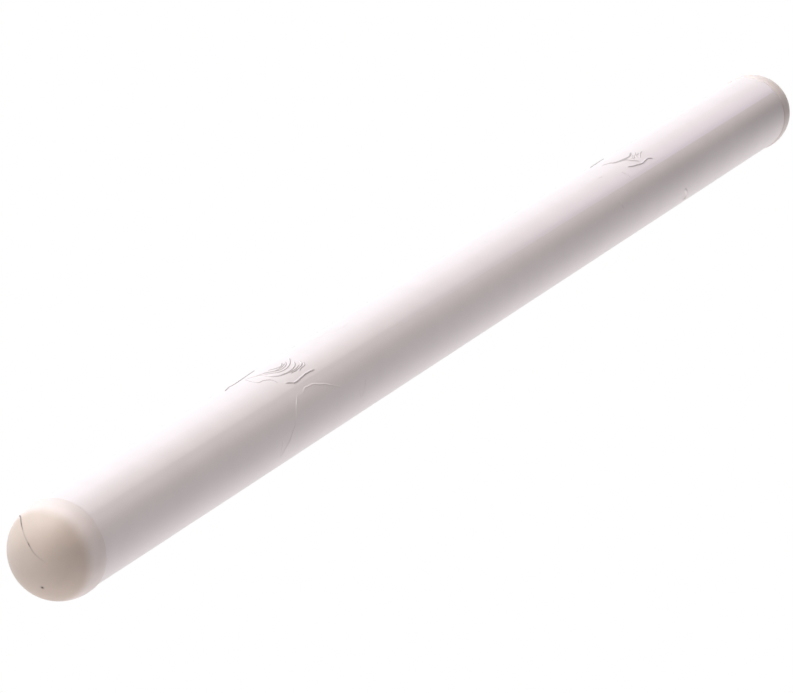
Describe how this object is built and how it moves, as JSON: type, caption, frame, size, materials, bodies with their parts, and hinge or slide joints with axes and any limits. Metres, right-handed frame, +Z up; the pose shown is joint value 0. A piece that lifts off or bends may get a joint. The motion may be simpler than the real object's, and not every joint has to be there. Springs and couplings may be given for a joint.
{
  "type": "juggling club",
  "caption": "Straight round juggling club: a film-wrapped plastic tube on a wooden core, with a domed plastic cap pressed into each end.",
  "frame": {"origin": "under the middle of the club, on the surface that the two cap rims rest on", "axes": "+X along the club from its near end to its far end, +Z up, +Y across it"},
  "size_m": [0.52, 0.0284, 0.0285],
  "materials": {
    "wrap_film": "white vinyl film, satin, finely embossed, with small application wrinkles",
    "tube_plastic": "extruded white polyethylene, dull",
    "cap_plastic": "moulded milky white polyethylene, satin, slightly translucent",
    "beech": "turned and sanded beech, unvarnished",
    "foam": "closed-cell foam, matt",
    "zinc_steel": "bright zinc plated steel"
  },
  "bodies": {
    "root": {"outer_film": "wrap_film", "body_tube": "tube_plastic", "core_dowel": "beech", "centring_ring_1": "foam", "centring_ring_2": "foam", "centring_ring_3": "foam", "near_end_cap": "cap_plastic", "near_end_plug": "beech", "near_screw_washer": "zinc_steel", "near_plug_screw": "zinc_steel", "far_end_cap": "cap_plastic", "far_end_plug": "beech", "far_screw_washer": "zinc_steel", "far_plug_screw": "zinc_steel"}
  },
  "joints": []
}
